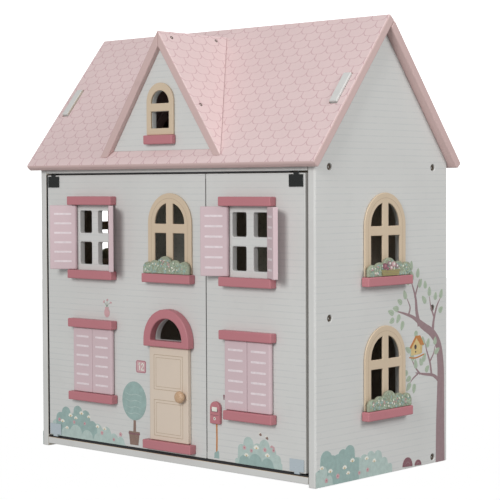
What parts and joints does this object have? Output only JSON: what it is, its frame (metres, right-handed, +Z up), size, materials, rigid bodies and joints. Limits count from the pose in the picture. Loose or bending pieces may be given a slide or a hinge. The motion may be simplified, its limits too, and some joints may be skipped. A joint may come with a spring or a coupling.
{
  "type": "wooden dollhouse",
  "caption": "Three-storey wooden toy house with gabled side walls, two pivoting front doors, a hinged front roof with a dormer, an entrance door and louvred shutters.",
  "frame": {"origin": "middle of the whole box at rest, on the ground", "axes": "+X to the right seen from the front, +Y to the back, +Z up"},
  "size_m": [0.628, 0.3774, 0.6896],
  "materials": {
    "wall_white": "satin off-white lacquer with printed plank lines",
    "roof_pink": "satin pale pink lacquer with printed scale shingles",
    "rose_paint": "satin dusty rose lacquer",
    "shutter_pink": "satin light pink lacquer with pale louvre lines",
    "cream_paint": "satin cream lacquer",
    "plant_green": "printed foliage on board",
    "beech_knob": "clear lacquered turned wood",
    "clip_metal": "polished plate",
    "hinge_steel": "plated steel",
    "catch_plastic": "moulded"
  },
  "bodies": {
    "carcass": {"side_wall_left": "wall_white", "side_wall_right": "wall_white", "base_board": "wall_white", "first_floor": "wall_white", "attic_floor": "wall_white", "back_panel": "wall_white", "ground_partition": "wall_white", "upper_partition": "wall_white", "left_wall_lower_frame": "cream_paint", "left_wall_lower_sill": "rose_paint", "left_wall_lower_plant": "plant_green", "left_wall_upper_frame": "cream_paint", "left_wall_upper_sill": "rose_paint", "left_wall_upper_plant": "plant_green", "right_wall_lower_frame": "cream_paint", "right_wall_lower_sill": "rose_paint", "right_wall_lower_plant": "plant_green", "right_wall_upper_frame": "cream_paint", "right_wall_upper_sill": "rose_paint", "right_wall_upper_plant": "plant_green", "magnetic_catch": "catch_plastic", "roof_rear_board": "roof_pink", "ridge_hinge_fixed_leaf": "hinge_steel"},
    "roof_front": {"roof_front_board": "roof_pink", "ridge_hinge_moving_leaf": "hinge_steel", "dormer_roof_right": "roof_pink", "dormer_roof_left": "roof_pink", "dormer_gable": "wall_white", "dormer_frame": "cream_paint", "dormer_sill": "rose_paint"},
    "door_left": {"door_left_board": "wall_white", "door_left_clip_top": "clip_metal", "door_left_clip_bottom": "clip_metal", "left_lower_lintel": "rose_paint", "left_lower_sill": "rose_paint", "left_upper_lintel": "rose_paint", "left_upper_sill": "rose_paint", "middle_upper_frame": "cream_paint", "middle_upper_sill": "rose_paint", "middle_upper_plant": "plant_green", "entrance_hood": "rose_paint", "doorstep": "rose_paint"},
    "door_right": {"door_right_board": "wall_white", "door_right_clip_top": "clip_metal", "door_right_clip_bottom": "clip_metal", "right_lower_lintel": "rose_paint", "right_lower_sill": "rose_paint", "right_upper_lintel": "rose_paint", "right_upper_sill": "rose_paint", "mailbox": "rose_paint"},
    "entrance_door": {"entrance_door": "cream_paint", "entrance_knob": "beech_knob"},
    "left_lower_shutter_l": {"left_lower_shutter_l": "shutter_pink"},
    "left_lower_shutter_r": {"left_lower_shutter_r": "shutter_pink"},
    "left_upper_shutter_l": {"left_upper_shutter_l": "shutter_pink"},
    "left_upper_shutter_r": {"left_upper_shutter_r": "shutter_pink"},
    "right_lower_shutter_l": {"right_lower_shutter_l": "shutter_pink"},
    "right_lower_shutter_r": {"right_lower_shutter_r": "shutter_pink"},
    "right_upper_shutter_l": {"right_upper_shutter_l": "shutter_pink"},
    "right_upper_shutter_r": {"right_upper_shutter_r": "shutter_pink"}
  },
  "joints": [
    {"name": "door_left_hinge", "type": "hinge", "parent": "carcass", "child": "door_left", "pos_m": [-0.266, -0.14776, 0.2362], "axis": [0, 0, -1], "range_deg": [0, 100]},
    {"name": "door_right_hinge", "type": "hinge", "parent": "carcass", "child": "door_right", "pos_m": [0.266, -0.14776, 0.2362], "axis": [0, 0, 1], "range_deg": [0, 100]},
    {"name": "roof_front_hinge", "type": "hinge", "parent": "carcass", "child": "roof_front", "pos_m": [0, 0.02034, 0.68051], "axis": [-1, 0, 0], "range_deg": [0, 150]},
    {"name": "entrance_door_hinge", "type": "hinge", "parent": "door_left", "child": "entrance_door", "pos_m": [-0.0301, -0.15741, 0.11185], "axis": [0, 0, -1], "range_deg": [0, 105]},
    {"name": "left_upper_shutter_l_hinge", "type": "hinge", "parent": "door_left", "child": "left_upper_shutter_l", "pos_m": [-0.20914, -0.15741, 0.3521], "axis": [0, 0, -1], "range_deg": [-150, 0]},
    {"name": "left_upper_shutter_r_hinge", "type": "hinge", "parent": "door_left", "child": "left_upper_shutter_r", "pos_m": [-0.12324, -0.15741, 0.3521], "axis": [0, 0, 1], "range_deg": [-138, 0]},
    {"name": "right_upper_shutter_l_hinge", "type": "hinge", "parent": "door_right", "child": "right_upper_shutter_l", "pos_m": [0.13154, -0.15741, 0.3521], "axis": [0, 0, -1], "range_deg": [-162, 0]},
    {"name": "right_upper_shutter_r_hinge", "type": "hinge", "parent": "door_right", "child": "right_upper_shutter_r", "pos_m": [0.21744, -0.15741, 0.3521], "axis": [0, 0, 1], "range_deg": [-143, 0]},
    {"name": "left_lower_shutter_l_hinge", "type": "hinge", "parent": "door_left", "child": "left_lower_shutter_l", "pos_m": [-0.20914, -0.15741, 0.1526], "axis": [0, 0, -1], "range_deg": [0, 150]},
    {"name": "left_lower_shutter_r_hinge", "type": "hinge", "parent": "door_left", "child": "left_lower_shutter_r", "pos_m": [-0.12324, -0.15741, 0.1526], "axis": [0, 0, 1], "range_deg": [0, 138]},
    {"name": "right_lower_shutter_l_hinge", "type": "hinge", "parent": "door_right", "child": "right_lower_shutter_l", "pos_m": [0.13154, -0.15741, 0.1526], "axis": [0, 0, -1], "range_deg": [0, 100]},
    {"name": "right_lower_shutter_r_hinge", "type": "hinge", "parent": "door_right", "child": "right_lower_shutter_r", "pos_m": [0.21744, -0.15741, 0.1526], "axis": [0, 0, 1], "range_deg": [0, 143]}
  ]
}
